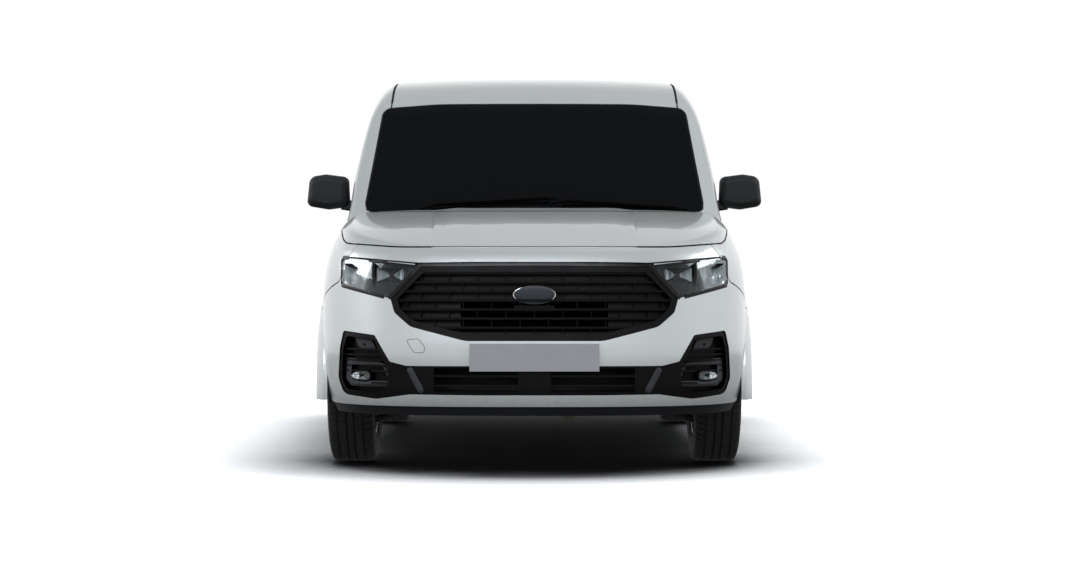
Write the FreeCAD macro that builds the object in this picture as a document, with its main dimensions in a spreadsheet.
import FreeCAD, Part
import math
import os

Vector = FreeCAD.Vector
Rotation = FreeCAD.Rotation
Placement = FreeCAD.Placement

# Compact panel van, front facing -Y, left side on +X, standing on the ground at Z = 0.
# Origin: on the ground, at mid length and mid width.

doc = FreeCAD.newDocument("panel_van")
sheet = doc.addObject("Spreadsheet::Sheet", "sizes")
kept = []
parts = []


def keep(alias, value):
    """Write one named size into the sheet and give it back."""
    kept.append(alias)
    row = len(kept)
    sheet.set("A%d" % row, alias)
    sheet.set("B%d" % row, str(value))
    sheet.setAlias("B%d" % row, alias)
    return float(value)


def bind(item, rules):
    """Tie the properties of an object to the sheet."""
    for place, rule in rules.items():
        item.setExpression(place, rule)
    return item


# Sizes of the whole van
body_length = keep("body_length", 4515)
body_width = keep("body_width", 1855)
body_height = keep("body_height", 1833)
front_overhang = keep("front_overhang", 890)
wheelbase = keep("wheelbase", 2755)
front_track = keep("front_track", 1576)
rear_track = keep("rear_track", 1614)
tyre_radius = keep("tyre_radius", 326)
tyre_width = keep("tyre_width", 205)
rim_radius = keep("rim_radius", 203)
arch_radius = keep("arch_radius", 370)
sill_height = keep("sill_height", 216)
shut_gap = keep("shut_gap", 6)
seat_gap = keep("seat_gap", 0.3)
door_wall = keep("door_wall", 65)
roof_wall = keep("roof_wall", 45)
nose_wall = keep("nose_wall", 45)
bonnet_wall = keep("bonnet_wall", 32)
overrun = keep("overrun", 400)

half_length = body_length / 2
half_width = body_width / 2
front_axle = front_overhang - half_length
rear_axle = front_axle + wheelbase
rear_overhang = half_length - rear_axle
middle = Vector(0, 0, 0)


def along(share):
    """Y of a place along the van: -1 front end, 0 front axle, 1 rear axle, 2 rear end."""
    if share < 0:
        return front_axle + share * front_overhang
    if share > 1:
        return rear_axle + (share - 1) * rear_overhang
    return front_axle + share * wheelbase


def across(share):
    return share * half_width


def up(share):
    return share * body_height


def placed(shares, first, second):
    """Table of shares turned into a table of sizes."""
    return [(first(a), second(b)) for a, b in shares]


def follow(table, at):
    """Smooth curve through the points of a table."""
    places = [point[0] for point in table]
    values = [point[1] for point in table]
    last = len(table) - 1

    def slope(i):
        low = max(i - 1, 0)
        high = min(i + 1, last)
        return (values[high] - values[low]) / (places[high] - places[low])

    if at <= places[0]:
        return values[0] + (at - places[0]) * slope(0)
    if at >= places[last]:
        return values[last] + (at - places[last]) * slope(last)
    i = max(k for k in range(last) if places[k] <= at)
    span = places[i + 1] - places[i]
    u = (at - places[i]) / span
    rise = 3 * u ** 2 - 2 * u ** 3
    leave = (u - 2 * u ** 2 + u ** 3) * span * slope(i)
    arrive = (u ** 3 - u ** 2) * span * slope(i + 1)
    return values[i] * (1 - rise) + values[i + 1] * rise + leave + arrive


def eased(share):
    """Soft step from 0 to 1."""
    share = min(max(share, 0), 1)
    return share * share * (3 - 2 * share)


def spline(points):
    curve = Part.BSplineCurve()
    curve.interpolate(points)
    return curve.toShape()


def mirrored(shape):
    return shape.mirror(middle, Vector(1, 0, 0))


def block(low, high):
    """Box between two corners."""
    size = high.sub(low)
    return Part.makeBox(size.x, size.y, size.z, low)


def rod(start, end, radius):
    way = end.sub(start)
    return Part.makeCylinder(radius, way.Length, start, way)


def rounded(corners, radii):
    """Closed outline with each corner turned at its own radius."""
    count = len(corners)
    edges = []
    ends = []
    for i in range(count):
        corner = corners[i]
        before = corners[i - 1].sub(corner).normalize()
        after = corners[(i + 1) % count].sub(corner).normalize()
        if radii[i] == 0:
            ends.append((corner, corner, None))
            continue
        half = before.getAngle(after) / 2
        reach = radii[i] / math.tan(half)
        centre = corner.add(before.add(after).normalize().multiply(radii[i] / math.sin(half)))
        crest = centre.add(corner.sub(centre).normalize().multiply(radii[i]))
        start = corner.add(before.multiply(reach))
        end = corner.add(after.multiply(reach))
        ends.append((start, end, crest))
    for i in range(count):
        start, end, crest = ends[i]
        if crest is not None:
            edges.append(Part.Arc(start, crest, end).toShape())
        following = ends[(i + 1) % count][0]
        if end.distanceToPoint(following) > shut_gap / 1000:
            edges.append(Part.LineSegment(end, following).toShape())
    return Part.Wire(edges)


def front_outline(points, radii, y, grow=0):
    """Outline seen from the front, drawn at one Y."""
    wire = rounded([Vector(x, y, z) for x, z in points], radii)
    return wire.makeOffset2D(grow) if grow else wire


def side_outline(points, radii, x, grow=0):
    """Outline seen from the side, drawn at one X."""
    wire = rounded([Vector(x, y, z) for y, z in points], radii)
    return wire.makeOffset2D(grow) if grow else wire


def front_prism(points, radii, y_from, y_to, grow=0):
    wire = front_outline(points, radii, y_from, grow)
    return Part.Face(wire).extrude(Vector(0, y_to - y_from, 0))


def side_prism(points, radii, x_from, x_to, grow=0):
    wire = side_outline(points, radii, x_from, grow)
    return Part.Face(wire).extrude(Vector(x_to - x_from, 0, 0))


def both_halves(points):
    """Outline of a left half, closed by its mirror image."""
    return list(points) + [(-x, z) for x, z in reversed(points)]


def add_part(label, shape):
    """One finished sub-part whose shape is set by code."""
    item = doc.addObject("Part::Feature", label)
    item.Label = label
    item.Shape = shape
    item.Placement = Placement()
    parts.append(item)
    return item


def cut_each(shape, tools):
    """Cut the tools from a shape one after the other."""
    for tool in tools:
        shape = shape.cut(tool)
    return shape


def solids_of(shape, least=1.0e4):
    """The pieces of a shape that are large enough to be real."""
    found = [solid for solid in shape.Solids if solid.Volume > least]
    return found[0] if len(found) == 1 else Part.makeCompound(found)


# Skin of the cab and load space.
# Half width over height, as shares of body height and half width
flank_shares = ((0.118, 0.925), (0.160, 0.955), (0.245, 0.976), (0.330, 0.984), (0.410, 0.987),
                (0.490, 0.982), (0.548, 0.970), (0.585, 0.938), (0.700, 0.906), (0.800, 0.876),
                (0.900, 0.842), (0.945, 0.824), (1.000, 0.800))
# Height of the windscreen and roof on the centre line
profile_shares = ((0.025, 0.582), (0.105, 0.6705), (0.185, 0.758), (0.258, 0.8375), (0.316, 0.900),
                  (0.367, 0.9395), (0.421, 0.967), (0.497, 0.9885), (0.584, 0.997), (0.730, 1.000),
                  (0.947, 0.9985), (1.408, 0.993), (1.753, 0.986), (2.000, 0.979))
# Drop of the roof from the centre line to its edge, over the length
crown_shares = ((0.025, 0.046), (0.221, 0.038), (0.316, 0.026), (0.403, 0.0175), (0.512, 0.013),
                (2.000, 0.012))
# Size of the turn from roof to flank, over the length
turn_shares = ((0.025, 0.0245), (0.294, 0.030), (0.385, 0.0465), (0.475, 0.0545), (2.000, 0.0545))
flank_table = placed(flank_shares, up, across)
profile_table = placed(profile_shares, along, up)
crown_table = placed(crown_shares, along, up)
turn_table = placed(turn_shares, along, up)
cab_front_share = 0.0254
cab_waist_share = 0.403
tail_waist_share = 0.766
screen_narrowing = keep("screen_narrowing", 45)
tail_narrowing = keep("tail_narrowing", 38)
tail_lean_share = 0.04
shoulder_share = 0.585
shoulder_step_share = 0.037
roof_power_share = 2.2
station_shares = (0.0617, 0.105, 0.156, 0.214, 0.272, 0.316, 0.359, 0.410, 0.475, 0.566, 0.730,
                  0.911, 1.293, 1.638)
tail_depth = keep("tail_depth", 27)
tail_shares = ((1.838, 0.0), (1.895, 0.1), (1.935, 0.43), (1.959, 1.0))
tail_turn = keep("tail_turn", 30)


def narrowing(y):
    """How far the flank moves in towards the windscreen and the tail."""
    waist = along(cab_waist_share)
    front = max(0, (waist - y) / (waist - along(cab_front_share)))
    tail = along(tail_waist_share)
    back = max(0, (y - tail) / (along(2) - tail))
    return screen_narrowing * front ** 3 + tail_narrowing * back ** 2


def flank(y, z, skin):
    return follow(flank_table, z) - narrowing(y) - skin


def body_section(y, shift, lean, skin, top, bottom):
    """Closed cross-section of the body at one place along the van."""
    ridge = follow(profile_table, y) - top
    crown = follow(crown_table, y)
    turn = follow(turn_table, y)

    def at(x, z):
        return Vector(x, y + shift - lean * (z - body_height / 2), z)

    shoulder = min(up(shoulder_share), ridge - crown - 2.2 * turn)
    belt = shoulder - up(shoulder_step_share)
    eaves = ridge - crown - turn
    edge = flank(y, ridge - crown, skin)
    inner = edge - turn

    def roof(x):
        return ridge - crown * (abs(x) / edge) ** roof_power_share

    low = [at(flank(y, bottom + (belt - bottom) * k / 6, skin), bottom + (belt - bottom) * k / 6)
           for k in range(7)]
    high = [at(flank(y, shoulder + (eaves - shoulder) * k / 4, skin),
               shoulder + (eaves - shoulder) * k / 4) for k in range(5)]
    pole = at(flank(y, ridge - crown, skin), roof(inner + 0.75 * turn))
    deck = [at(inner * k / 4, roof(inner * k / 4)) for k in range(4, -5, -1)]

    def other(point):
        return Vector(-point.x, point.y, point.z)

    def corner(start, bend, end):
        curve = Part.BSplineCurve()
        curve.buildFromPolesMultsKnots([start, bend, end], [3, 3], [0, 1], False, 2)
        return curve.toShape()

    return Part.Wire([
        spline(low),
        Part.LineSegment(low[-1], high[0]).toShape(),
        spline(high),
        corner(high[-1], pole, deck[0]),
        spline(deck),
        corner(other(deck[0]), other(pole), other(high[-1])),
        spline([other(point) for point in reversed(high)]),
        Part.LineSegment(other(high[0]), other(low[-1])).toShape(),
        spline([other(point) for point in reversed(low)]),
        Part.LineSegment(other(low[0]), low[0]).toShape(),
    ])


body_cache = {}


def body_volume(skin, top, bottom, front_share=cab_front_share, tail_out=0):
    """Solid of the cab and load space, its skin moved in by the given amounts."""
    key = (skin, top, bottom, front_share, tail_out)
    if key in body_cache:
        return body_cache[key]
    lean_start = along(0.911)
    lean_end = along(tail_shares[-1][0])

    def lean(y):
        return tail_lean_share * max(0, (y - lean_start) / (lean_end - lean_start))

    places = [along(front_share)] + [along(share) for share in station_shares]
    wires = [body_section(y, 0, lean(y), skin, top, bottom) for y in places]
    for share, turn in tail_shares:
        y = along(share)
        inset = tail_turn * turn
        wires.append(body_section(y, tail_out - skin, lean(y), skin + inset, top + inset, bottom))
    body_cache[key] = Part.makeLoft(wires, True, False)
    return body_cache[key]


# Skin of the nose: level outlines stacked from the valance to the bonnet edge
nose_width_shares = ((0.118, 0.920), (0.150, 0.932), (0.180, 0.950), (0.245, 0.968), (0.330, 0.976),
                     (0.410, 0.974), (0.464, 0.963), (0.500, 0.948), (0.530, 0.925), (0.570, 0.895),
                     (0.610, 0.860))
nose_front_shares = ((0.118, 0.080), (0.150, 0.040), (0.180, 0.018), (0.225, 0.013), (0.280, 0.013),
                     (0.310, 0.022), (0.380, 0.052), (0.470, 0.090), (0.505, 0.128), (0.560, 0.220),
                     (0.610, 0.360))
nose_levels = (0.120, 0.150, 0.180, 0.225, 0.280, 0.330, 0.400, 0.470, 0.505, 0.550, 0.610)
nose_low_level = 0.100
nose_turn_shares = (0, 0.2, 0.4, 0.55, 0.68, 0.78, 0.86, 0.92, 0.96, 0.985, 1.0)
nose_power_share = 2.9
nose_reach = keep("nose_reach", 700)
nose_width_table = placed(nose_width_shares, up, across)
nose_front_table = [(up(a), front_overhang * b) for a, b in nose_front_shares]
wing_end_share = 0.1615
wing_end = along(wing_end_share)


def nose_outline(z, skin, end):
    """Level outline of the nose from one side round to the other."""
    wide = follow(nose_width_table, z) - skin
    tip = along(-1) + follow(nose_front_table, z) + skin
    reach = nose_reach - skin
    right = []
    for share in nose_turn_shares:
        turn = 1 - (1 - share ** nose_power_share) ** (1 / nose_power_share)
        right.append(Vector(wide * share, tip + reach * turn, z))
    run = end - tip - reach
    for k in range(1, 5):
        y = tip + reach + run * k / 4
        blend = eased(k / 4)
        right.append(Vector(wide + (flank(y, z, skin) - wide) * blend, y, z))
    left = [Vector(-point.x, point.y, z) for point in reversed(right[1:])]
    return Part.Wire([spline(left + right), Part.LineSegment(right[-1], left[0]).toShape()])


# Surface of the bonnet
bonnet_shares = ((-1.056, 0.4637), (-1.000, 0.4757), (-0.888, 0.4992), (-0.775, 0.5183),
                 (-0.438, 0.5619), (0.0054, 0.6001), (0.1125, 0.6219), (0.2214, 0.6383))
bonnet_column_shares = (0.16, 0.30, 0.385, 0.425, 0.465, 0.52, 0.64, 0.80, 0.92, 1.00, 1.08)
bonnet_table = placed(bonnet_shares, along, up)
bonnet_half = keep("bonnet_half", 834)
bonnet_crown = keep("bonnet_crown", 22)
bonnet_bulge = keep("bonnet_bulge", 7)
bonnet_bulge_half = keep("bonnet_bulge_half", 395)
bonnet_bulge_slope = keep("bonnet_bulge_slope", 70)
bonnet_turn = keep("bonnet_turn", 60)


def bonnet_height(x, y, down):
    """Height of the bonnet skin, with its raised middle."""
    rise = 1 - eased((abs(x) - bonnet_bulge_half) / bonnet_bulge_slope + 0.5)
    fade = eased((y - along(-0.75)) / (along(-0.3) - along(-0.75)))
    drop = bonnet_crown * (abs(x) / bonnet_half) ** 3
    return follow(bonnet_table, y) - drop + bonnet_bulge * rise * fade - down


def above_bonnet(down):
    """Everything above the bonnet skin."""
    halves = [across(share) for share in bonnet_column_shares]
    columns = [-x for x in reversed(halves)] + [0] + halves
    rows = []
    for i in range(12):
        y = along(-1.056) + (along(0.2214) - along(-1.056)) * i / 11
        rows.append([Vector(x, y, bonnet_height(x, y, down)) for x in columns])
    surface = Part.BSplineSurface()
    surface.interpolate(rows)
    return surface.toShape().extrude(Vector(0, 0, body_height))


nose_cache = {}


def nose_loft(skin):
    """Solid of the nose below the bonnet line, its skin moved in."""
    if skin not in nose_cache:
        deep = skin > nose_wall / 2
        levels = (nose_low_level,) + nose_levels if deep else nose_levels
        end = wing_end + (overrun / 4 if deep else shut_gap * 2)
        outlines = [nose_outline(up(level), skin, end) for level in levels]
        nose_cache[skin] = Part.makeLoft(outlines, True, False)
    return nose_cache[skin]


def nose_y(x, z, skin):
    """Y of the front face at one place."""
    wide = follow(nose_width_table, z) - skin
    tip = along(-1) + follow(nose_front_table, z) + skin
    share = min(abs(x) / wide, 1)
    return tip + (nose_reach - skin) * (1 - (1 - share ** nose_power_share) ** (1 / nose_power_share))


def front_strip(z, thick, near, far, x_from, x_to):
    """Level bar that follows the front face between two depths."""
    places = [x_from + (x_to - x_from) * k / 10 for k in range(11)]
    near_edge = [Vector(x, nose_y(x, z, near), z) for x in places]
    far_edge = [Vector(x, nose_y(x, z, far), z) for x in reversed(places)]
    outline = Part.Wire([
        spline(near_edge),
        Part.LineSegment(near_edge[-1], far_edge[0]).toShape(),
        spline(far_edge),
        Part.LineSegment(far_edge[-1], near_edge[0]).toShape(),
    ])
    return Part.Face(outline).extrude(Vector(0, 0, thick))


def soften_bonnet_edge(shape):
    """Round the long edge where the bonnet turns down into the wings and the front."""
    seams = [edge for edge in shape.Edges
             if edge.BoundBox.YLength > front_overhang and edge.BoundBox.ZMin > up(0.45)]
    outer = max(seams, key=lambda edge: edge.BoundBox.XLength)
    return shape.makeFillet(bonnet_turn, [outer])


def front_piece(points, radii, near, far, grow=0, depth=0.6):
    """Slice of the nose skin between two depths, inside an outline seen from the front."""
    cutter = front_prism(points, radii, along(-1.2), along(-1 + depth), grow)
    return nose_loft(near).common(cutter).cut(nose_loft(far))


# Wheel arches
flare_lip = keep("flare_lip", 924)
flare_shares = ((1.0, 0.0), (1.04, 0.0), (1.11, 6.0), (1.19, 18.0), (1.27, 36.0))


def arch_bore(y, inner, radius=arch_radius):
    """Clearance for one wheel, on the left side."""
    return Part.makeCylinder(radius, across(1.1) - inner, Vector(inner, y, tyre_radius), Vector(1, 0, 0))


def arch_flare(y, root):
    """Raised lip round one arch, on the left side."""
    lip = [Vector(flare_lip - drop * flare_lip / 924, y + arch_radius * share, tyre_radius)
           for share, drop in flare_shares]
    foot = [Vector(root, lip[-1].y, tyre_radius), Vector(root, lip[0].y, tyre_radius)]
    outline = Part.Wire([
        Part.LineSegment(foot[1], lip[0]).toShape(),
        Part.LineSegment(lip[0], lip[1]).toShape(),
        spline(lip[1:]),
        Part.LineSegment(lip[-1], foot[0]).toShape(),
        Part.LineSegment(foot[0], foot[1]).toShape(),
    ])
    ring = Part.Face(outline).revolve(Vector(0, y, tyre_radius), Vector(1, 0, 0), 360)
    keep_box = block(Vector(0, y - wheelbase / 4, up(0.16)), Vector(across(1.2), y + wheelbase / 4, up(0.6)))
    return ring.common(keep_box)


# Outlines of the shut lines. Points are shares of half width and body height seen from the
# front, or of the length scale and body height seen from the side.
bonnet_line_shares = ((0.929, 0.709), (0.929, 0.594), (0.859, 0.5183), (0.604, 0.5074))
bonnet_line_radii = (0, 0, 45, 1500)
lamp_shares = ((0.8665, 0.4860), (0.8625, 0.4235), (0.6405, 0.3950), (0.5046, 0.4655))
lamp_radii = (14, 12, 5, 4)
grille_shares = ((0.496, 0.4660), (0.632, 0.3960), (0.612, 0.3620), (0.540, 0.3310), (0.300, 0.3000))
grille_radii = (4, 8, 40, 70, 150)
intake_shares = ((0.556, 0.2450), (0.631, 0.2540), (0.700, 0.3120), (0.846, 0.3208), (0.863, 0.2826),
                 (0.872, 0.2139), (0.846, 0.1780), (0.693, 0.1702), (0.541, 0.1822), (0.288, 0.1811))
intake_radii = (10, 10, 12, 10, 40, 60, 40, 60, 60, 300)
front_top_shares = ((0.90, 0.56), (0.872, 0.4872), (0.505, 0.4705), (0.28, 0.4722))
wing_front_share = -0.646
bumper_end_shares = ((-0.646, 0.72), (-0.646, 0.4310), (-0.2247, 0.3600), (-0.2247, 0.100),
                     (0.1615, 0.100), (0.1615, 0.5783), (0.05, 0.72))
bumper_end_radii = (0, 28, 60, 0, 0, 0, 0)
front_door_shares = ((0.1626, 0.1650), (0.1626, 0.6190), (0.2577, 0.7300), (0.3267, 0.8075),
                     (0.3884, 0.8675), (0.4465, 0.8975), (0.5590, 0.9067), (0.5590, 0.1650))
front_door_radii = (40, 60, 500, 500, 300, 200, 45, 60)
front_window_shares = ((0.2123, 0.5990), (0.2123, 0.6436), (0.2686, 0.7081), (0.3368, 0.7851),
                       (0.3960, 0.8429), (0.4494, 0.8707), (0.5390, 0.8778), (0.5390, 0.5947))
front_window_radii = (25, 30, 500, 500, 260, 200, 40, 40)
slide_door_shares = ((0.5742, 0.1650), (0.5742, 0.9067), (0.8530, 0.9100), (0.8530, 0.1650))
slide_door_radii = (60, 45, 60, 60)
rear_bumper_shares = ((1.477, 0.100), (1.477, 0.2810), (1.70, 0.3030), (2.3, 0.3030), (2.3, 0.100))
rear_bumper_radii = (0, 30, 200, 0, 0)
screen_shares = ((0.829, 0.6000), (0.7825, 0.8862), (0.50, 0.8972))
screen_radii = (50, 45, 1500)
rear_door_shares = ((0.0032, 0.3063), (0.8356, 0.3063), (0.8356, 0.700), (0.790, 0.9640), (0.0032, 0.9660))
rear_door_radii = (0, 40, 900, 60, 0)
tail_lamp_shares = ((0.8463, 0.4640), (0.8463, 0.6940), (1.04, 0.6940), (1.04, 0.4640))
tail_lamp_radii = (12, 12, 0, 0)


def seen_from_front(shares, scale=1):
    return [(across(a), up(b)) for a, b in shares]


def seen_from_side(shares):
    return [(along(a), up(b)) for a, b in shares]


half_gap = shut_gap / 2
bonnet_points = both_halves(seen_from_front(bonnet_line_shares))
bonnet_turns = bonnet_line_radii + bonnet_line_radii[::-1]
lamp_points = seen_from_front(lamp_shares)
grille_points = both_halves(seen_from_front(grille_shares))
grille_turns = grille_radii + grille_radii[::-1]
intake_points = both_halves(seen_from_front(intake_shares))
intake_turns = intake_radii + intake_radii[::-1]
wing_points = seen_from_side(bumper_end_shares)
rear_bumper_points = seen_from_side(rear_bumper_shares)
screen_points = both_halves(seen_from_front(screen_shares))
screen_turns = screen_radii + screen_radii[::-1]
rear_door_points = seen_from_front(rear_door_shares)
tail_lamp_points = seen_from_front(tail_lamp_shares)
front_reach = along(-1) - overrun
rear_reach = along(2) + overrun
side_reach = across(1) + overrun

# Walls of the nose
nose_shell = nose_loft(0).cut(above_bonnet(0))
nose_shell = nose_shell.cut(nose_loft(nose_wall).cut(above_bonnet(bonnet_wall)))
nose_shell = soften_bonnet_edge(nose_shell)
left_flare = arch_flare(front_axle, flare_lip - nose_wall - 10)
nose_shell = nose_shell.fuse([left_flare, mirrored(left_flare)])
front_arch = arch_bore(front_axle, across(0.52))
nose_shell = cut_each(nose_shell, [front_arch, mirrored(front_arch)])

bonnet_cutter = front_prism(bonnet_points, bonnet_turns, front_reach, along(0.3), half_gap)
bonnet_region = front_prism(bonnet_points, bonnet_turns, front_reach, along(0.3), -half_gap)
wing_region = side_prism(wing_points, bumper_end_radii, 0, side_reach, -half_gap)
wing_cutter = side_prism(wing_points, bumper_end_radii, 0, side_reach, half_gap)
lamp_cutter = front_prism(lamp_points, lamp_radii, front_reach, along(-0.45), 1.5)

# Door hinges: a vertical pin line inside the leading edge of each front door
hinge_inset = keep("hinge_inset", 68)
hinge_back = keep("hinge_back", 42)
hinge_swing = keep("hinge_swing", 67)
hinge_x = half_width - hinge_inset
hinge_y = along(front_door_shares[0][0]) + hinge_back
hinge_hollow = Part.makeCylinder(hinge_swing + shut_gap, up(0.6) - up(0.13),
                                 Vector(hinge_x, hinge_y, up(0.13)), Vector(0, 0, 1))

# Bonnet, hinged under the corners of the windscreen
bonnet_rear = keep("bonnet_rear", 975)
bonnet_rear_radius = keep("bonnet_rear_radius", 6600)
bonnet_end = Part.makeCylinder(bonnet_rear_radius, body_height,
                               Vector(0, bonnet_rear + bonnet_rear_radius - half_length, 0))
bonnet = nose_shell.common(bonnet_region).cut(bonnet_end)
add_part("bonnet", solids_of(bonnet))

# Front wings
pillar_foot = up(0.5815)
wing_top = pillar_foot - 2 * half_gap
wing_lid = block(Vector(0, front_reach, wing_top), Vector(side_reach, along(0.3), body_height))
wing = cut_each(nose_shell.common(wing_region), [bonnet_cutter, lamp_cutter, hinge_hollow, wing_lid])
wing = solids_of(wing)
add_part("front_wing_left", wing)
add_part("front_wing_right", mirrored(wing))

# Nose panel between the bonnet and the grille
front_stock = cut_each(nose_shell, [wing_cutter, mirrored(wing_cutter), bonnet_cutter])
top_points = both_halves(seen_from_front(front_top_shares))
top_radii = (0, 0, 400, 900, 900, 400, 0, 0)
top_cutter = front_prism(top_points, top_radii, front_reach, along(-0.2), half_gap)
nose_panel = front_stock.common(front_prism(top_points, top_radii, front_reach, along(-0.2), -half_gap))
add_part("nose_panel", solids_of(nose_panel))

# Front bumper with its openings
grille_cutter = front_prism(grille_points, grille_turns, front_reach, along(-0.7))
intake_cutter = front_prism(intake_points, intake_turns, front_reach, along(-0.5))
valance_top = up(0.1555)
below = block(Vector(-side_reach, front_reach, 0), Vector(side_reach, along(0.5), valance_top))
bumper = cut_each(front_stock, [below, top_cutter, lamp_cutter, mirrored(lamp_cutter), grille_cutter, intake_cutter])
plate_half = keep("plate_half", 260)
plate_height = keep("plate_height", 111)
plate_low = keep("plate_low", 429)
plate_thick = keep("plate_thick", 6)
plinth = block(Vector(-plate_half + 6, along(-1) + plate_thick + seat_gap, plate_low + 22),
               Vector(plate_half - 6, along(-1) + nose_wall, plate_low + plate_height - 5))
bumper = bumper.fuse(plinth.cut(nose_loft(nose_wall)).cut(grille_cutter).cut(intake_cutter))
add_part("front_bumper", solids_of(bumper, 1.0e6))

# Black valance under the bumper
valance = nose_loft(8).cut(nose_loft(nose_wall)).common(
    block(Vector(-side_reach, front_reach, up(0.1350)), Vector(side_reach, along(-0.42), valance_top - seat_gap)))
add_part("front_valance", solids_of(cut_each(valance, [front_arch, mirrored(front_arch)])))

# Upper grille: a frame, eight blades, short uprights and a closed back beside the open middle
blade_count = 8
blade_thick = keep("blade_thick", 9)
blade_top = keep("blade_top", 827)
blade_pitch = keep("blade_pitch", 36.5)
upright_pitch = keep("upright_pitch", 115)
upright_thick = keep("upright_thick", 4)
frame_width = keep("frame_width", 27)
open_half = keep("open_half", 298)
open_low = keep("open_low", 585)
open_high = keep("open_high", 712)
grille_back = keep("grille_back", 31)
blades = []
uprights = []
for i in range(blade_count):
    low = blade_top - blade_pitch * i - blade_thick
    blades.append(front_strip(low, blade_thick, 8, grille_back - seat_gap, -across(0.66), across(0.66)))
    if i == blade_count - 1:
        continue
    for k in range(-5, 6):
        x = upright_pitch * (k + 0.5 * (i % 2))
        if abs(x) > across(0.60):
            continue
        y = nose_y(x, low, 16)
        uprights.append(block(Vector(x - upright_thick / 2, y, low - blade_pitch + blade_thick - 1),
                              Vector(x + upright_thick / 2, y + 11, low + 1)))
field = front_prism(grille_points, grille_turns, front_reach, along(-0.7), -frame_width)
inset = front_prism(grille_points, grille_turns, front_reach, along(-0.7), -frame_width - seat_gap)
surround = nose_loft(2).common(front_prism(grille_points, grille_turns, front_reach, along(-0.7), -seat_gap))
surround = surround.cut(field.cut(nose_loft(grille_back))).cut(nose_loft(grille_back + 8))
surround = surround.cut(block(Vector(-open_half, front_reach, open_low), Vector(open_half, along(-0.7), open_high)))
inside = blades[0].fuse(blades[1:] + uprights).common(inset)
add_part("upper_grille", Part.makeCompound([solids_of(surround), solids_of(inside)]))

# Lower grille with the fog lamp surrounds
intake_open_shares = ((0.071, 0.1882), (0.071, 0.2406), (0.4356, 0.2406), (0.4356, 0.1882))
pocket_shares = ((0.702, 0.3020), (0.832, 0.3095), (0.848, 0.2780), (0.856, 0.2160), (0.834, 0.1900),
                 (0.702, 0.1830), (0.640, 0.1960), (0.640, 0.2350))
pocket_radii = (14, 14, 30, 40, 30, 30, 30, 40)
fog_x = keep("fog_x", 712)
fog_z = keep("fog_z", 405)
fog_half = keep("fog_half", 40)
fog_tall = keep("fog_tall", 17)
pocket_deep = keep("pocket_deep", 34)
plate_deep = keep("plate_deep", 22)
pocket_points = seen_from_front(pocket_shares)
window_left = front_prism(seen_from_front(intake_open_shares), (6, 6, 6, 6), front_reach, along(-0.5))
pocket_left = front_prism(pocket_points, pocket_radii, front_reach, along(-0.5))
pocket_air = pocket_left.cut(nose_loft(pocket_deep))
pocket_wall = front_prism(pocket_points, pocket_radii, front_reach, along(-0.5), 6)
intake = nose_loft(4).common(front_prism(intake_points, intake_turns, front_reach, along(-0.5), -seat_gap))
intake = intake.cut(nose_loft(pocket_deep + 8))
thinned = nose_loft(plate_deep).common(front_prism(intake_points, intake_turns, front_reach, along(-0.5), 5))
intake = intake.cut(cut_each(thinned, [pocket_wall, mirrored(pocket_wall)]))
intake = cut_each(intake, [window_left, mirrored(window_left), pocket_air, mirrored(pocket_air)])
bars = [front_strip(up(level) - 4, 8, 8, 20, across(0.071) + seat_gap, across(0.4356) - seat_gap)
        for level in (0.2020, 0.2230)]
fins = [front_strip(up(level) - 3, 6, 14, pocket_deep - seat_gap, across(0.62), across(0.87))
        for level in (0.206, 0.232, 0.244, 0.256, 0.268, 0.280)]
fins = Part.makeCompound(fins).common(front_prism(pocket_points, pocket_radii, front_reach, along(-0.5), -seat_gap))
fog_seat = Part.makeCylinder(fog_half + 14, 200, Vector(fog_x, along(-0.86), fog_z), Vector(0, 1, 0))
fins = fins.cut(fog_seat)
fog_corners = [(fog_x - fog_half, fog_z - fog_tall), (fog_x - fog_half, fog_z + fog_tall),
               (fog_x + fog_half, fog_z + fog_tall), (fog_x + fog_half, fog_z - fog_tall)]
fog_room = front_prism(fog_corners, (16, 16, 16, 16), front_reach, along(-0.4))
fog_hood = nose_loft(16).common(front_prism(fog_corners, (16, 16, 16, 16), front_reach, along(-0.4), 7))
fog_hood = fog_hood.cut([fog_room, nose_loft(pocket_deep - seat_gap)])
loose = bars + [solid for solid in fins.Solids if solid.Volume > 500] + fog_hood.Solids
add_part("lower_grille", Part.makeCompound([solids_of(intake)] + loose + [mirrored(piece) for piece in loose]))

# Headlamps and fog lamps: clear covers, and dark housings with two bowls each
lens = front_piece(lamp_points, lamp_radii, 1, 5, -1, 0.6)
housing = front_piece(lamp_points, lamp_radii, 8, 85, 1.5 - seat_gap, 0.7)
bowl_radius = keep("bowl_radius", 60)
for x, z, tall in ((583, 815, 30), (724, 822, 44)):
    centre = Vector(x, nose_y(x, z, 8) + 6, z)
    bowl = Part.makeSphere(bowl_radius, centre).common(
        block(Vector(0, front_reach, z - tall), Vector(side_reach, 0, z + tall)))
    housing = housing.cut(bowl)
ring_out = front_prism(lamp_points, lamp_radii, front_reach, along(-0.3), -1)
ring = nose_loft(5.3).common(ring_out).cut([
    nose_loft(9), front_prism(lamp_points, lamp_radii, front_reach, along(-0.3), -9)])
housing = solids_of(housing.fuse(ring))
add_part("headlamp_housings", Part.makeCompound([housing, mirrored(housing)]))
fog_glass = nose_loft(20).common(fog_room).cut(nose_loft(pocket_deep - 1))
fog_glass = fog_glass.common(block(Vector(fog_x - fog_half + 0.3, front_reach, fog_z - fog_tall + 0.3),
                                   Vector(fog_x + fog_half - 0.3, along(-0.4), fog_z + fog_tall - 0.3)))
add_part("lamp_glasses", Part.makeCompound([solids_of(lens), mirrored(solids_of(lens)),
                                            solids_of(fog_glass), mirrored(solids_of(fog_glass))]))

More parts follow.
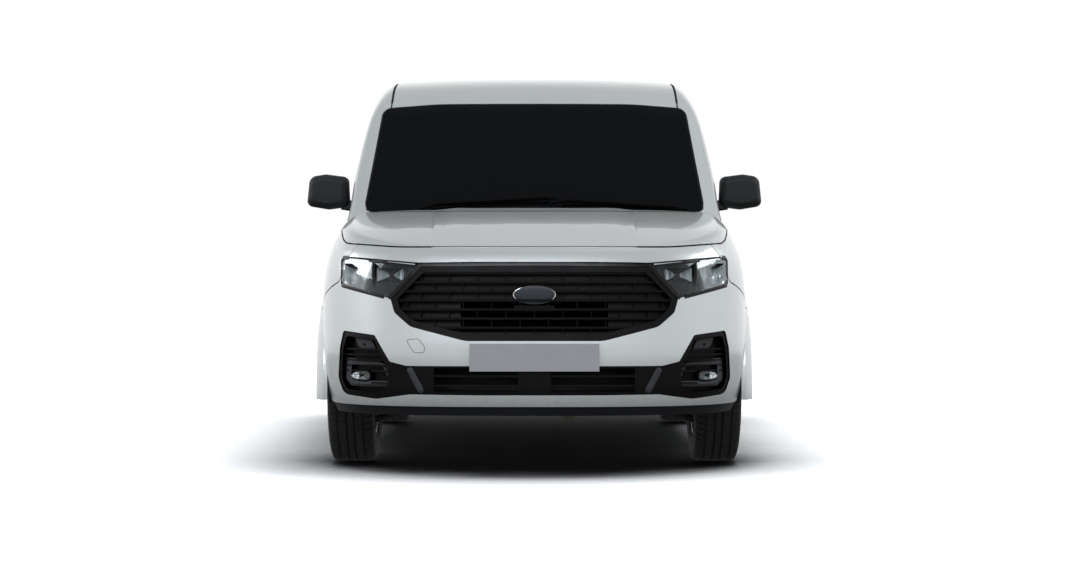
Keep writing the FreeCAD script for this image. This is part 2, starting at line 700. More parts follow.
# Number plate, blank
plate = doc.addObject("Part::Box", "number_plate")
plate.Label = "number_plate"
bind(plate, {
    "Length": "2 * sizes.plate_half",
    "Width": "sizes.plate_thick",
    "Height": "sizes.plate_height",
    "Placement.Base.x": "-sizes.plate_half",
    "Placement.Base.y": "-sizes.body_length / 2",
    "Placement.Base.z": "sizes.plate_low",
})
parts.append(plate)

# Walls of the cab and load space
body_skin = body_volume(0, 0, sill_height)
body_inner = body_volume(door_wall, roof_wall, sill_height - door_wall, 0)
rear_flare = arch_flare(rear_axle, flare_lip - door_wall - 10)
body_shell = body_skin.cut(body_inner).fuse([rear_flare, mirrored(rear_flare)])
rear_arch = arch_bore(rear_axle, across(0.73))
body_shell = cut_each(body_shell, [rear_arch, mirrored(rear_arch)])

screen_cutter = front_prism(screen_points, screen_turns, front_reach, along(0.42), 3)
bumper_cutter = side_prism(rear_bumper_points, rear_bumper_radii, -side_reach, side_reach, half_gap)
rear_door_cutter = front_prism(both_halves(rear_door_points[1:4]), (40, 900, 60, 60, 900, 40),
                               along(1.7), rear_reach, half_gap)
tail_lamp_cutter = front_prism(tail_lamp_points, tail_lamp_radii, along(1.74), rear_reach, seat_gap)
ditch = keep("ditch", 690)
door_taper = keep("door_taper", 54)
door_taper_run = keep("door_taper_run", 300)


def door_block(shares, radii, grow):
    """Door or aperture seen from the side, its rear edge slanted so that it swings out freely."""
    points = seen_from_side(shares)
    back = points[-1][0]
    inner = [(y - door_taper if y == back else y, z) for y, z in points]
    outer_wire = side_outline(points, radii, across(1.08), grow)
    inner_wire = side_outline(inner, radii, across(1.08) - door_taper_run, grow)
    return Part.makeLoft([outer_wire, inner_wire], True, True)


door_cutter = door_block(front_door_shares, front_door_radii, half_gap)
slide_cutter = side_prism(seen_from_side(slide_door_shares), slide_door_radii, -side_reach, 0, half_gap)
front_lower = block(Vector(-side_reach, front_reach, 0), Vector(side_reach, wing_end + half_gap, pillar_foot))
side_half = block(Vector(ditch + half_gap, front_reach, 0), Vector(side_reach, rear_reach, body_height * 1.1))
half_shell = body_shell.common(side_half)
left_stock = cut_each(half_shell, [front_lower, door_cutter, screen_cutter, bumper_cutter, rear_door_cutter,
                                   tail_lamp_cutter, hinge_hollow])

# Pins the doors turn on: one in the sill for each front door, two barrels for each rear door
pin_radius = keep("pin_radius", 8)
pin_top = keep("pin_top", 360)
barrel_radius = keep("barrel_radius", 10)
barrel_long = keep("barrel_long", 44)
rear_hinge_x = keep("rear_hinge_x", 779.5)
rear_hinge_y = keep("rear_hinge_y", 2223.8)
door_pin = Part.makeCylinder(pin_radius, pin_top - sill_height - 4, Vector(hinge_x, hinge_y, sill_height + 4))
door_pin_hole = Part.makeCylinder(pin_radius + seat_gap, pin_top, Vector(hinge_x, hinge_y, seat_gap))
hinge_way = Vector(0, -tail_lean_share, 1).normalize()
rear_barrels = []
for z in (up(0.35), up(0.725)):
    foot = Vector(rear_hinge_x, rear_hinge_y - tail_lean_share * (z - body_height / 2), z)
    head = foot.add(hinge_way * (barrel_long + seat_gap))
    rear_barrels.append([
        Part.makeCylinder(barrel_radius, barrel_long, foot, hinge_way).fuse(
            block(foot.add(Vector(-24, -14, 0)), foot.add(Vector(-4, 0, barrel_long - 1)))),
        Part.makeCylinder(barrel_radius, barrel_long, head, hinge_way).fuse(
            block(head.add(Vector(-3, -24, 0)), head.add(Vector(9, 0, barrel_long)))),
        Part.makeCylinder(barrel_radius + seat_gap, barrel_long + 2 * seat_gap, foot.sub(hinge_way * seat_gap), hinge_way),
        Part.makeCylinder(barrel_radius + seat_gap, barrel_long + 2 * seat_gap, head.sub(hinge_way * seat_gap), hinge_way),
        block(foot.add(Vector(-26, -17, -2)), foot.add(Vector(-2, 2, barrel_long - 0.5)))])
left_stock = left_stock.fuse(door_pin)
for low_barrel, high_barrel, low_room, high_room, bracket_room in rear_barrels:
    left_stock = cut_each(left_stock, [low_room, bracket_room]).fuse(high_barrel)
left_side = solids_of(left_stock)
right_side = solids_of(mirrored(left_stock).cut(slide_cutter))
add_part("body_side_left", left_side)
add_part("body_side_right", right_side)

# Roof with its pressed swages
swage_count = 7
swage_pitch = keep("swage_pitch", 205)
swage_wide = keep("swage_wide", 84)
swage_deep = keep("swage_deep", 7)
swage_slope = keep("swage_slope", 14)
swage_stations = ((0.497, -0.6), (0.54, 1.0), (0.65, 1.0), (0.80, 1.0), (0.95, 1.0), (1.35, 1.0),
                  (1.62, 1.0), (1.76, -0.6))


def swage(x):
    """Long shallow trough pressed into the roof."""
    wires = []
    for share, sink in swage_stations:
        y = along(share)
        ridge = follow(profile_table, y)
        edge = flank(y, ridge - follow(crown_table, y), 0)
        top = ridge - follow(crown_table, y) * (abs(x) / edge) ** roof_power_share
        wide = swage_wide / 2
        deep = top - swage_deep * sink
        lift = top + 3 * swage_deep
        spread = wide + swage_slope * 2
        wires.append(Part.makePolygon([
            Vector(x - spread, y, lift), Vector(x + spread, y, lift),
            Vector(x + wide - swage_slope, y, deep), Vector(x - wide + swage_slope, y, deep),
            Vector(x - spread, y, lift)]))
    return Part.makeLoft(wires, True, False)


roof_stock = body_shell.common(block(Vector(-ditch + half_gap, along(0.28), up(0.85)),
                                     Vector(ditch - half_gap, rear_reach, body_height * 1.1)))
roof = cut_each(roof_stock, [screen_cutter, rear_door_cutter])
for i in range(swage_count):
    roof = roof.cut(swage(swage_pitch * (i - (swage_count - 1) / 2)))
bar_x = keep("bar_x", 630)
bar_front_share = 0.53
bar_rear_share = 0.90
bar_seat_z = keep("bar_seat_z", 1798)
bar_seat_radius = keep("bar_seat_radius", 16)
bar_hole_radius = keep("bar_hole_radius", 4)
bar_hole_depth = keep("bar_hole_depth", 25)
for y in (along(bar_front_share), along(bar_rear_share)):
    for x in (-bar_x, bar_x):
        roof = roof.cut(Part.makeCylinder(bar_seat_radius, overrun, Vector(x, y, bar_seat_z)))
        roof = roof.cut(Part.makeCylinder(bar_hole_radius, overrun, Vector(x, y, bar_seat_z - bar_hole_depth)))
add_part("roof", solids_of(roof))

# Windscreen
glass_in = keep("glass_in", 4)
glass_thick = keep("glass_thick", 6)
screen = body_volume(glass_in, glass_in, sill_height).common(
    front_prism(screen_points, screen_turns, front_reach, along(0.42), 3 - seat_gap))
screen = screen.cut(body_volume(glass_in + glass_thick, glass_in + glass_thick, sill_height, 0))
add_part("windscreen", solids_of(screen))

# Front doors with window frames, their glasses and the mirrors
door = half_shell.common(door_block(front_door_shares, front_door_radii, -half_gap)).cut(door_pin_hole)
window_points = seen_from_side(front_window_shares)
window = side_prism(window_points, front_window_radii, across(0.5), side_reach)
door = solids_of(door.cut(window))
door_pane = body_volume(14, 14, sill_height).cut(body_volume(19, 19, sill_height, 0)).common(
    side_prism(window_points, front_window_radii, across(0.5), side_reach, -seat_gap))
door_pane = solids_of(door_pane)
mirror_low = keep("mirror_low", 1128)
mirror_high = keep("mirror_high", 1292)
mirror_inner = keep("mirror_inner", 862)
mirror_outer = keep("mirror_outer", 1062)
mirror_front = keep("mirror_front", 1392)
mirror_deep = keep("mirror_deep", 112)
mirror_shares = ((0.00, 0.62), (0.06, 0.80), (0.20, 0.93), (0.50, 1.0), (0.85, 1.0), (1.0, 0.97))


def mirror_slice(depth_share, size_share):
    """One upright slice of the mirror head."""
    wide = (mirror_outer - mirror_inner) * size_share
    tall = (mirror_high - mirror_low) * size_share
    x = (mirror_outer + mirror_inner) / 2 - wide / 2
    z = (mirror_high + mirror_low) / 2 - tall / 2
    y = mirror_front - half_length + mirror_deep * depth_share
    turn = tall * 0.24
    corners = [Vector(x, y, z + tall * 0.08), Vector(x + wide * 0.03, y, z + tall * 0.92),
               Vector(x + wide * 0.55, y, z + tall), Vector(x + wide * 0.93, y, z + tall * 0.93),
               Vector(x + wide, y, z + tall * 0.10), Vector(x + wide * 0.5, y, z)]
    return rounded(corners, (turn * 0.6, turn * 0.7, turn * 0.9, turn, turn * 0.7, turn))


mirror_head = Part.makeLoft([mirror_slice(a, b) for a, b in mirror_shares], True, False)
arm_y = mirror_front - half_length + mirror_deep * 0.55
arm_z = mirror_low + 10
arm_root = Vector(flank(arm_y, arm_z, 0) + seat_gap, arm_y, arm_z)
arm_outline = [(arm_y - 34, arm_z - 26), (arm_y - 26, arm_z + 26), (arm_y + 40, arm_z + 24), (arm_y + 44, arm_z - 24)]
arm_near = side_outline(arm_outline, (12, 12, 12, 12), arm_root.x - 40)
arm_far = side_outline([(y * 1 + (arm_y - y) * 0.25, z + 14) for y, z in arm_outline], (10, 10, 10, 10),
                       mirror_inner + 40)
mirror_arm = Part.makeLoft([arm_near, arm_far], True, True).cut(body_volume(-seat_gap, -seat_gap, sill_height))
mirror = solids_of(mirror_head.fuse(mirror_arm))
add_part("front_door_left", door)
add_part("front_door_right", mirrored(door))
add_part("door_glass_left", door_pane)
add_part("door_glass_right", mirrored(door_pane))
add_part("mirror_left", mirror)
add_part("mirror_right", mirrored(mirror))

# Sliding door on the right, with a pressed blind panel
slide_region = side_prism(seen_from_side(slide_door_shares), slide_door_radii, -side_reach, 0, -half_gap)
slide = mirrored(half_shell).common(slide_region)
add_part("sliding_door", solids_of(slide))

# Rear doors, hinged at the outer corners of the tail
meet_taper = keep("meet_taper", 10)
meet_run = keep("meet_run", 100)
tail_plane = along(tail_shares[-1][0])


def rear_leaf(grow):
    outer = front_outline(rear_door_points, rear_door_radii, rear_reach, grow)
    inner_points = [(x + meet_taper if x < across(0.1) else x, z) for x, z in rear_door_points]
    inner = front_outline(inner_points, rear_door_radii, rear_reach - meet_run - overrun, grow)
    return Part.makeLoft([outer, inner], True, True)


leaf = body_shell.common(rear_leaf(-half_gap)).common(
    block(Vector(0, along(1.72), 0), Vector(side_reach, rear_reach, body_height * 1.1)))
for low_barrel, high_barrel, low_room, high_room, bracket_room in rear_barrels:
    leaf = leaf.cut(high_room).fuse(low_barrel)
leaf = solids_of(leaf)
add_part("rear_door_left", leaf)
add_part("rear_door_right", mirrored(leaf))

# Tail lamps, wrapped round the rear corners
tail_lamp = body_volume(0.5, 0.5, sill_height).cut(body_volume(door_wall - 5, roof_wall, sill_height, 0)).common(
    front_prism(tail_lamp_points, tail_lamp_radii, along(1.74) + 2, rear_reach, 0))
tail_lamp = solids_of(tail_lamp)
add_part("tail_lamps", Part.makeCompound([tail_lamp, mirrored(tail_lamp)]))

# Rear bumper
bumper_out = keep("bumper_out", 32)
bumper_side_out = keep("bumper_side_out", 8)
rear_bumper = body_volume(-bumper_side_out, -bumper_side_out, sill_height, cab_front_share, bumper_out)
rear_bumper = rear_bumper.common(block(Vector(-side_reach, 0, up(0.13)), Vector(side_reach, half_length, up(0.4))))
rear_bumper = rear_bumper.cut(body_volume(door_wall - 5, roof_wall, sill_height - door_wall, 0))
rear_bumper = rear_bumper.common(side_prism(rear_bumper_points, rear_bumper_radii, -side_reach, side_reach, -half_gap))
add_part("rear_bumper", solids_of(rear_bumper))

# Floor: bulkhead to the engine, cab floor, step and load floor, with sills and rear wheel boxes
floor_thick = keep("floor_thick", 40)
cab_floor = keep("cab_floor", 390)
load_floor = keep("load_floor", 575)
dash_wall_y = keep("dash_wall_y", 1262)
floor_half = keep("floor_half", 775)
box_inner = keep("box_inner", 680)
box_wall = keep("box_wall", 22)


def from_front(depth):
    return depth - half_length


toe = from_front(dash_wall_y)
step_y = along(0.508)
floor_end = along(1.9)
board_low = (toe + 150, cab_floor - floor_thick)
board_high = (toe - floor_thick, cab_floor + 245)
top_line = [(toe, up(0.555)), (toe, cab_floor + 260), (toe + 165, cab_floor), (step_y, cab_floor),
            (step_y + 15, load_floor), (floor_end - 60, load_floor)]
low_line = [(floor_end - 60, load_floor - floor_thick), (step_y - 25 + floor_thick * 1.5, load_floor - floor_thick),
            (step_y - 40 + floor_thick * 1.5, cab_floor - floor_thick), board_low, board_high,
            (toe - floor_thick, up(0.555))]
cab_pan = side_prism(top_line + low_line, (0,) * 12, -floor_half, floor_half)
load_room = body_volume(door_wall + seat_gap, roof_wall + seat_gap, sill_height - door_wall, 0)
load_pan = block(Vector(-side_reach, along(0.562), load_floor - floor_thick),
                 Vector(side_reach, floor_end - 62, load_floor)).common(load_room)
sill = block(Vector(floor_half - 25, wing_end + 120, sill_height + 6), Vector(side_reach, along(0.86), up(0.158)))
sill = sill.common(load_room)
sill_web = block(Vector(floor_half - 25, wing_end + 120, sill_height + 6), Vector(floor_half, step_y, cab_floor))
wheel_box = Part.makeCylinder(arch_radius + box_wall, across(1) - box_inner + box_wall,
                              Vector(box_inner - box_wall, rear_axle, tyre_radius), Vector(1, 0, 0))
wheel_box = wheel_box.common(load_room).common(
    block(Vector(0, along(0.5), load_floor - floor_thick), Vector(side_reach, rear_reach, up(0.5))))
wheel_room = Part.makeCylinder(arch_radius, across(1), Vector(box_inner, rear_axle, tyre_radius), Vector(1, 0, 0))
floor = cab_pan.fuse([load_pan, sill, mirrored(sill), sill_web, mirrored(sill_web), wheel_box, mirrored(wheel_box)])
floor = cut_each(floor, [wheel_room, mirrored(wheel_room)])
rear_member = block(Vector(-560, floor_end - 90, 430), Vector(560, rear_reach, 553)).common(
    body_volume(door_wall - 5 + seat_gap, roof_wall, sill_height - door_wall, 0))
bulkhead_thick = keep("bulkhead_thick", 24)
bulkhead_slot = keep("bulkhead_slot", 3)
bulkhead_y = along(0.5612) + 2
floor_slot = block(Vector(-side_reach, bulkhead_y - seat_gap, load_floor - bulkhead_slot),
                   Vector(side_reach, bulkhead_y + bulkhead_thick + seat_gap, load_floor + 1))
floor = floor.fuse(rear_member).removeSplitter().cut(floor_slot)
add_part("floor_pan", solids_of(floor))

# Steel bulkhead between the cab and the load space, its foot in a slot that ends the load floor
bulkhead = load_room.common(block(Vector(-side_reach, bulkhead_y, load_floor - bulkhead_slot + seat_gap),
                                  Vector(side_reach, bulkhead_y + bulkhead_thick, body_height)))
add_part("bulkhead", solids_of(bulkhead))

# Black cowl below the windscreen, and the wipers
cowl_points = [(from_front(1012), up(0.570)), (from_front(1012), up(0.5835)), (from_front(1060), up(0.5835)),
               (from_front(1210), up(0.640)), (from_front(1210), up(0.555)), (from_front(1100), up(0.555))]
cowl = side_prism(cowl_points, (6, 4, 20, 0, 0, 20), -side_reach, side_reach)
cowl_end = block(Vector(ditch, front_reach, pillar_foot - seat_gap), Vector(side_reach, rear_reach, body_height))
cowl_half = keep("cowl_half", 826)
cowl_side = block(Vector(cowl_half, front_reach, 0), Vector(side_reach, rear_reach, body_height))
cowl = cut_each(cowl, [cowl_end, mirrored(cowl_end)])
cowl = cut_each(cowl.common(body_volume(14, 26, sill_height, 0)), [cowl_side, mirrored(cowl_side)])


def screen_point(x, share, lift):
    """Place on the windscreen, lifted off it."""
    y = along(share)
    ridge = follow(profile_table, y)
    crown = follow(crown_table, y)
    edge = flank(y, ridge - crown, 0)
    return Vector(x, y, ridge - crown * (abs(x) / edge) ** roof_power_share + lift)


wiper_radius = keep("wiper_radius", 7)
spindle_radius = keep("spindle_radius", 6)
spindle_long = keep("spindle_long", 60)
arm_lift = keep("arm_lift", 20)
blade_lift = keep("blade_lift", 14)
wipers = []
for pivot_x, tip_x in ((-520, 60), (70, 640)):
    pivot = screen_point(pivot_x, 0.052, arm_lift)
    knee = screen_point(pivot_x + 90, 0.0605, arm_lift)
    tip = screen_point(tip_x, 0.066, arm_lift)
    heel = screen_point((pivot_x + tip_x) / 2 - 230, 0.062, blade_lift)
    end = screen_point((pivot_x + tip_x) / 2 + 330, 0.068, blade_lift)
    spindle = Part.makeCylinder(spindle_radius, spindle_long, pivot, Vector(0, 0, -1))
    cowl = cowl.cut(Part.makeCylinder(spindle_radius + seat_gap, spindle_long + seat_gap, pivot, Vector(0, 0, -1)))
    wiper = rod(pivot, knee, wiper_radius).fuse([rod(knee, tip, wiper_radius * 0.8), rod(heel, end, wiper_radius), spindle])
    wipers.append(solids_of(wiper.fuse(Part.makeSphere(wiper_radius, knee)).cut(screen), 5.0e4))
add_part("cowl", solids_of(cowl))
add_part("wipers", Part.makeCompound(wipers))

# Front structure: rails, bumper beam, cross member, strut towers and lower arms
rail_x = keep("rail_x", 430)
rail_wide = keep("rail_wide", 60)
rail_low = keep("rail_low", 480)
rail_tall = keep("rail_tall", 80)
joint_x = keep("joint_x", 735)
joint_z = keep("joint_z", 200)
strut_top_x = keep("strut_top_x", 575)
strut_top_z = keep("strut_top_z", 880)
strut_radius = keep("strut_radius", 25)
ball_radius = keep("ball_radius", 18)


def toe_board(z):
    """Front face of the sloping toe board at a height, where the rails end."""
    share = (z - board_low[1]) / (board_high[1] - board_low[1])
    return board_low[0] + share * (board_high[0] - board_low[0]) - 2 * seat_gap


rail = side_prism([(along(-0.86), rail_low), (along(-0.86), rail_low + rail_tall),
                   (toe_board(rail_low + rail_tall), rail_low + rail_tall), (toe_board(rail_low), rail_low)],
                  (0, 0, 0, 0), rail_x - rail_wide / 2, rail_x + rail_wide / 2)
beam = block(Vector(-across(0.58), along(-1), rail_low - 10), Vector(across(0.58), along(-0.83), rail_low + rail_tall + 10))
beam = beam.common(nose_loft(nose_wall + seat_gap))
cross = block(Vector(-rail_x, front_axle - 70, 236), Vector(rail_x, front_axle + 80, 296))
post = block(Vector(rail_x - rail_wide / 2, front_axle - 30, 290), Vector(rail_x + rail_wide / 2, front_axle + 30, rail_low + 2))
joint_place = Vector(joint_x, front_axle, joint_z)
strut_top = Vector(strut_top_x, front_axle, strut_top_z)
king_way = strut_top.sub(joint_place).normalize()
arm_foot = Vector(rail_x - 20, front_axle - 40, 262)
arm_heel = Vector(rail_x - 20, front_axle + 190, 262)
socket = joint_place.sub(king_way * (ball_radius + seat_gap + 10))
lower_arm = rod(arm_foot, socket, 15).fuse(rod(arm_heel, socket, 14))
lower_arm = lower_arm.fuse([Part.makeCylinder(20, 16, socket.sub(king_way * 6), king_way), rod(arm_foot, arm_heel, 18)])
lower_arm = lower_arm.cut(Part.makeSphere(ball_radius + seat_gap, joint_place))
tower_seat = strut_top.add(king_way * (seat_gap + 4))
tower = Part.makeCylinder(58, 16, tower_seat, king_way)
tower_leg = side_prism([(front_axle - 60, rail_low + 20), (front_axle - 60, strut_top_z + 10),
                        (front_axle + 60, strut_top_z + 10), (front_axle + 60, rail_low + 20)],
                       (0, 0, 0, 0), rail_x - 10, rail_x + 12)
tower_link = block(Vector(rail_x, front_axle - 50, strut_top_z - 2), Vector(strut_top_x - 10, front_axle + 50, strut_top_z + 20))
tower_link = tower_link.cut(Part.makeCylinder(58, 60, tower_seat.sub(king_way * 60), king_way))
upright = block(Vector(rail_x - rail_wide / 2, from_front(183.5), rail_low + 20), Vector(rail_x + 10, from_front(222.5), up(0.478)))
shelf = block(Vector(360, from_front(160), up(0.4735)), Vector(402, from_front(284), up(0.4845)))
shelf = shelf.common(nose_loft(nose_wall + seat_gap))
stop = Part.makeCylinder(12, 200, Vector(380, from_front(267), up(0.4735))).cut(above_bonnet(bonnet_wall + seat_gap))
stop = max(stop.Solids, key=lambda solid: solid.Volume)
carrier_bar = nose_loft(nose_wall + seat_gap).common(
    block(Vector(-455, front_reach, up(0.4735)), Vector(455, along(-0.7), up(0.4855)))).cut(nose_loft(nose_wall + 30))
half_frame = rail.fuse([post, lower_arm, tower, tower_leg, tower_link, upright, shelf, stop])
structure = beam.fuse([cross, half_frame, mirrored(half_frame), carrier_bar])
add_part("front_structure", solids_of(structure))

# Steering knuckles, turning on the line from the lower joint to the strut top
hub_radius = keep("hub_radius", 62)
carrier_in = keep("carrier_in", 96)
wheel_x = front_track / 2
wheel_place = Vector(wheel_x, front_axle, tyre_radius)
disc_back = keep("disc_back", 32)
disc_radius = keep("disc_radius", 112)
carrier = Part.makeCylinder(hub_radius, carrier_in - 8 - disc_back - seat_gap,
                            Vector(wheel_x - carrier_in + 8, front_axle, tyre_radius), Vector(1, 0, 0))
ball = Part.makeSphere(ball_radius, joint_place)
neck = rod(joint_place, Vector(wheel_x - carrier_in + 34, front_axle, tyre_radius - 30), 14)
strut_foot = joint_place.add(king_way * 278)
strut = rod(strut_foot, strut_top, strut_radius)
rod_top = Part.makeCylinder(46, 14, strut_top.sub(king_way * 14), king_way)
spring_seat = Part.makeCylinder(48, 10, joint_place.add(king_way * 500), king_way)
clamp = rod(Vector(wheel_x - carrier_in + 32, front_axle, tyre_radius + 34), strut_foot.add(king_way * 24), 22)
steer_arm = rod(Vector(wheel_x - carrier_in + 30, front_axle + 20, tyre_radius - 24),
                Vector(wheel_x - carrier_in + 6, front_axle + 128, tyre_radius - 40), 12)
knuckle = carrier.fuse([ball, neck, strut, rod_top, spring_seat, clamp, steer_arm])
knuckle = solids_of(knuckle)
add_part("knuckle_left", knuckle)
add_part("knuckle_right", mirrored(knuckle))

# Engine and gearbox as one heavy block, and the radiator ahead of it
engine_wide = keep("engine_wide", 799)
engine_long = keep("engine_long", 430)
engine_tall = keep("engine_tall", 500)
engine_low = keep("engine_low", 340)
engine_front = keep("engine_front", 400)
engine = doc.addObject("Part::Box", "engine_block")
engine.Label = "engine_block"
bind(engine, {
    "Length": "2 * (sizes.rail_x - sizes.rail_wide / 2 - sizes.seat_gap)",
    "Width": "sizes.engine_long",
    "Height": "sizes.engine_tall",
    "Placement.Base.x": "-(sizes.rail_x - sizes.rail_wide / 2 - sizes.seat_gap)",
    "Placement.Base.y": "sizes.engine_front - sizes.body_length / 2",
    "Placement.Base.z": "sizes.engine_low",
})
parts.append(engine)
radiator_thick = keep("radiator_thick", 36)
radiator_low = keep("radiator_low", 350)
radiator_tall = keep("radiator_tall", 440)
radiator_front = keep("radiator_front", 178)
radiator = doc.addObject("Part::Box", "radiator")
radiator.Label = "radiator"
bind(radiator, {
    "Length": "2 * (sizes.rail_x - sizes.rail_wide / 2 - sizes.seat_gap)",
    "Width": "sizes.radiator_thick",
    "Height": "sizes.radiator_tall",
    "Placement.Base.x": "-(sizes.rail_x - sizes.rail_wide / 2 - sizes.seat_gap)",
    "Placement.Base.y": "sizes.radiator_front - sizes.body_length / 2",
    "Placement.Base.z": "sizes.radiator_low",
})
parts.append(radiator)

# Rear axle beam with its trailing arms
beam_radius = keep("beam_radius", 38)
trail_x = keep("trail_x", 560)
stub = rear_track / 2 - 40
axle_beam = rod(Vector(-stub + 60, rear_axle - 140, 300), Vector(stub - 60, rear_axle - 140, 300), beam_radius)
trail = rod(Vector(trail_x, rear_axle - 540, 470), Vector(trail_x, rear_axle + 10, 326), 30)
bush = Part.makeCylinder(45, 70, Vector(trail_x - 35, rear_axle - 540, load_floor - floor_thick - seat_gap - 45), Vector(1, 0, 0))
spindle = rod(Vector(trail_x, rear_axle, tyre_radius), Vector(rear_track / 2 - disc_back - seat_gap, rear_axle, tyre_radius), 34)
spring = Part.makeCylinder(40, load_floor - floor_thick - seat_gap - 310, Vector(trail_x, rear_axle - 130, 310))
half_axle = trail.fuse([bush, spindle, spring])
add_part("rear_axle", solids_of(axle_beam.fuse([half_axle, mirrored(half_axle)])))

# Fuel tank and exhaust under the floor
tank = block(Vector(-520, along(0.52), 250), Vector(-60, along(0.80), cab_floor - floor_thick - seat_gap))
tank_top = block(Vector(-500, along(0.56), 300), Vector(-80, along(0.78), load_floor - floor_thick - seat_gap))
tank = tank.fuse(tank_top)
tank_edges = [edge for edge in tank.Edges if edge.BoundBox.ZMax < 260]
add_part("fuel_tank", tank.makeFillet(30, tank_edges))

pipe_radius = keep("pipe_radius", 27)
pipe_z = keep("pipe_z", 205)
pipe_x = keep("pipe_x", 150)
silencer_radius = keep("silencer_radius", 85)
pipe_start = Vector(pipe_x, from_front(engine_front + engine_long) + 10, pipe_z)
pipe_bend = Vector(pipe_x, along(1.30), pipe_z)
exhaust = rod(pipe_start, Vector(pipe_x, along(1.30), pipe_z), pipe_radius)
silencer = Part.makeCylinder(silencer_radius, 420, Vector(pipe_x - 40, along(1.28), pipe_z + 50), Vector(0, 1, 0))
hanger = block(Vector(pipe_x - 60, along(1.45), pipe_z + 100), Vector(pipe_x - 40, along(1.47), load_floor - floor_thick - seat_gap))
front_hanger = block(Vector(pipe_x - 10, along(0.30), pipe_z + 10), Vector(pipe_x + 10, along(0.31), cab_floor - floor_thick - seat_gap))
exhaust = exhaust.fuse([silencer, hanger, front_hanger])
add_part("exhaust", solids_of(exhaust))

# Seats: one for the driver on the left, a double one beside it
seat_base = keep("seat_base", 170)
seat_points = [(1800, 0), (1800, 250), (1770, 270), (1775, 330), (2170, 300), (2225, 860), (2245, 870),
               (2330, 870), (2350, 840), (2280, 250), (2250, 0)]
seat_radii = (0, 20, 20, 30, 60, 10, 10, 25, 25, 60, 0)


def seat(x_from, x_to, rests):
    outline = [(from_front(y), cab_floor + seat_gap + z) for y, z in seat_points]
    shape = side_prism(outline, seat_radii, x_from, x_to)
    for x in rests:
        rest = side_prism([(from_front(2250), cab_floor + 900), (from_front(2262), cab_floor + 1050),
                           (from_front(2330), cab_floor + 1050), (from_front(2334), cab_floor + 900)],
                          (20, 30, 30, 20), x - 120, x + 120)
        posts = block(Vector(x - 50, from_front(2285), cab_floor + 860), Vector(x + 50, from_front(2300), cab_floor + 910))
        shape = shape.fuse([rest, posts])
    return shape


add_part("seats", Part.makeCompound([seat(160, 660, (410,)), seat(-690, 60, (-500, -130))]))

# Dashboard and steering wheel
dash_points = [(1262, 0.47), (1262, 0.585), (1330, 0.600), (1500, 0.588), (1560, 0.560), (1540, 0.47), (1470, 0.42), (1330, 0.42)]
dash = side_prism([(from_front(y) + seat_gap, up(z)) for y, z in dash_points],
                  (0, 10, 60, 50, 30, 30, 30, 0), -across(0.80), across(0.80))
add_part("dashboard", dash)
wheel_centre = Vector(410, from_front(1680), up(0.585))
column_way = Vector(0, -0.88, -0.47).normalize()
steering_radius = keep("steering_radius", 185)
wheel_tilt = Rotation(Vector(0, 0, 1), column_way)
rim_ring = Part.makeTorus(steering_radius, 15, wheel_centre, column_way)
column = rod(wheel_centre, wheel_centre.add(column_way * 150), 30)
hub = rod(wheel_centre.sub(column_way * 18), wheel_centre.add(column_way * 30), 62)
spokes = [rod(wheel_centre, wheel_centre.add(wheel_tilt.multVec(Vector(math.cos(a), math.sin(a), 0)) * steering_radius), 11)
          for a in (0, math.pi, math.pi / 2)]
steering = rim_ring.fuse([column, hub] + spokes)
steering = steering.cut(dash)
add_part("steering_wheel", solids_of(steering))


# Wheels: tyre and rim revolved about the axle, then put at the four corners
def origin_plane(body, role):
    return [item for item in body.Origin.OriginFeatures if item.Role == role][0]


def sketch_lines(sketch, points):
    """Closed chain of straight lines, in the sketch's own plane."""
    count = len(points)
    for i in range(count):
        start = points[i]
        end = points[(i + 1) % count]
        sketch.addGeometry(Part.LineSegment(Vector(start[0], start[1], 0), Vector(end[0], end[1], 0)))


rim_wide = keep("rim_wide", 165)
rim_shell = keep("rim_shell", 9)
disc_thick = keep("disc_thick", 22)
vent_count = 10
vent_radius = keep("vent_radius", 17)
vent_ring = keep("vent_ring", 135)
stud_ring = keep("stud_ring", 54)


def make_tyre(label, place):
    """Tyre as a revolved section; X of the sketch is across, Y is the radius."""
    body = doc.addObject("PartDesign::Body", label)
    body.Label = label
    sketch = body.newObject("Sketcher::SketchObject", label + "_section")
    sketch.AttachmentSupport = [(origin_plane(body, "XY_Plane"), "")]
    sketch.MapMode = "FlatFace"
    half = tyre_width / 2
    wall = tyre_radius - rim_radius
    sketch_lines(sketch, [
        (half * 0.80, rim_radius + 2), (half, rim_radius + wall * 0.45), (half * 0.93, tyre_radius - wall * 0.14),
        (half * 0.76, tyre_radius), (-half * 0.76, tyre_radius), (-half * 0.93, tyre_radius - wall * 0.14),
        (-half, rim_radius + wall * 0.45), (-half * 0.80, rim_radius + 2)])
    turn = body.newObject("PartDesign::Revolution", label + "_turn")
    turn.Profile = sketch
    turn.ReferenceAxis = (sketch, ["H_Axis"])
    turn.Angle = 360
    body.Placement = place
    parts.append(body)
    return body


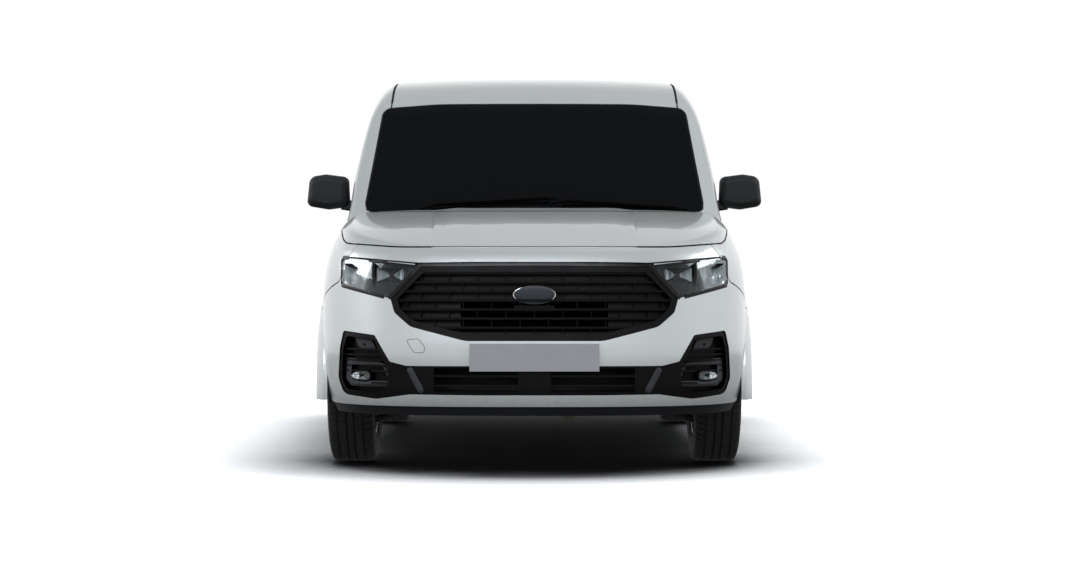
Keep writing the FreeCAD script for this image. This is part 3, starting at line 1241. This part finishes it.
def make_rim(label, place):
    """Pressed steel wheel with a ring of round vents, hub and brake drum behind."""
    body = doc.addObject("PartDesign::Body", label)
    body.Label = label
    sketch = body.newObject("Sketcher::SketchObject", label + "_section")
    sketch.AttachmentSupport = [(origin_plane(body, "XY_Plane"), "")]
    sketch.MapMode = "FlatFace"
    half = rim_wide / 2
    top = rim_radius + 1.7
    low = top - rim_shell
    sketch_lines(sketch, [
        (half + 3.5, top + 6), (half + 0.7, top), (-half - 0.7, top), (-half - 3.5, top + 6), (-half - 6, top + 6),
        (-half - 6, low - 4), (-half + 10, low), (half - 52, low), (half - 40, low - 12),
        (half - 46, low - 40), (half - 34, 95), (half - 40, 82), (half - 40, hub_radius - 2),
        (disc_thick - disc_back, hub_radius - 2), (disc_thick - disc_back, disc_radius), (-disc_back, disc_radius), (-disc_back, 0),
        (half - 26, 0), (half - 26, 70), (half - 18, 96), (half - 28, low - 42), (half - 18, low - 14),
        (half - 4, low), (half + 6, top + 6)])
    turn = body.newObject("PartDesign::Revolution", label + "_turn")
    turn.Profile = sketch
    turn.ReferenceAxis = (sketch, ["H_Axis"])
    turn.Angle = 360
    doc.recompute()
    vent = body.newObject("Sketcher::SketchObject", label + "_vent")
    vent.AttachmentSupport = [(origin_plane(body, "YZ_Plane"), "")]
    vent.MapMode = "FlatFace"
    vent.addGeometry(Part.Circle(Vector(vent_ring, 0, 0), Vector(0, 0, 1), vent_radius))
    pocket = body.newObject("PartDesign::Pocket", label + "_pocket")
    pocket.Profile = vent
    pocket.Type = 1
    pocket.Midplane = False
    pocket.Reversed = True
    ring = body.newObject("PartDesign::PolarPattern", label + "_ring")
    ring.Originals = [pocket]
    ring.Axis = (origin_plane(body, "X_Axis"), [""])
    ring.Angle = 360
    ring.Occurrences = vent_count
    body.Tip = ring
    body.Placement = place
    parts.append(body)
    return body


corners = (("front_left", front_track / 2, front_axle, 0), ("front_right", -front_track / 2, front_axle, 180),
           ("rear_left", rear_track / 2, rear_axle, 0), ("rear_right", -rear_track / 2, rear_axle, 180))
for name, x, y, turned in corners:
    place = Placement(Vector(x, y, tyre_radius), Rotation(Vector(0, 0, 1), turned))
    make_tyre("tyre_" + name, place)
    make_rim("wheel_" + name, place)

# Check everything, then write the pieces
doc.recompute()
for item in doc.Objects:
    if "Invalid" in item.State or "Error" in item.State:
        raise RuntimeError("failed object: " + item.Label)
for item in parts:
    if item.Shape.isNull() or not item.Shape.isValid():
        raise RuntimeError("bad shape: " + item.Label)
os.makedirs("parts", exist_ok=True)
for item in parts:
    item.Shape.exportStep("parts/" + item.Label + ".step")
    print(item.Label, len(item.Shape.Solids), round(item.Shape.Volume / 1e6, 2))
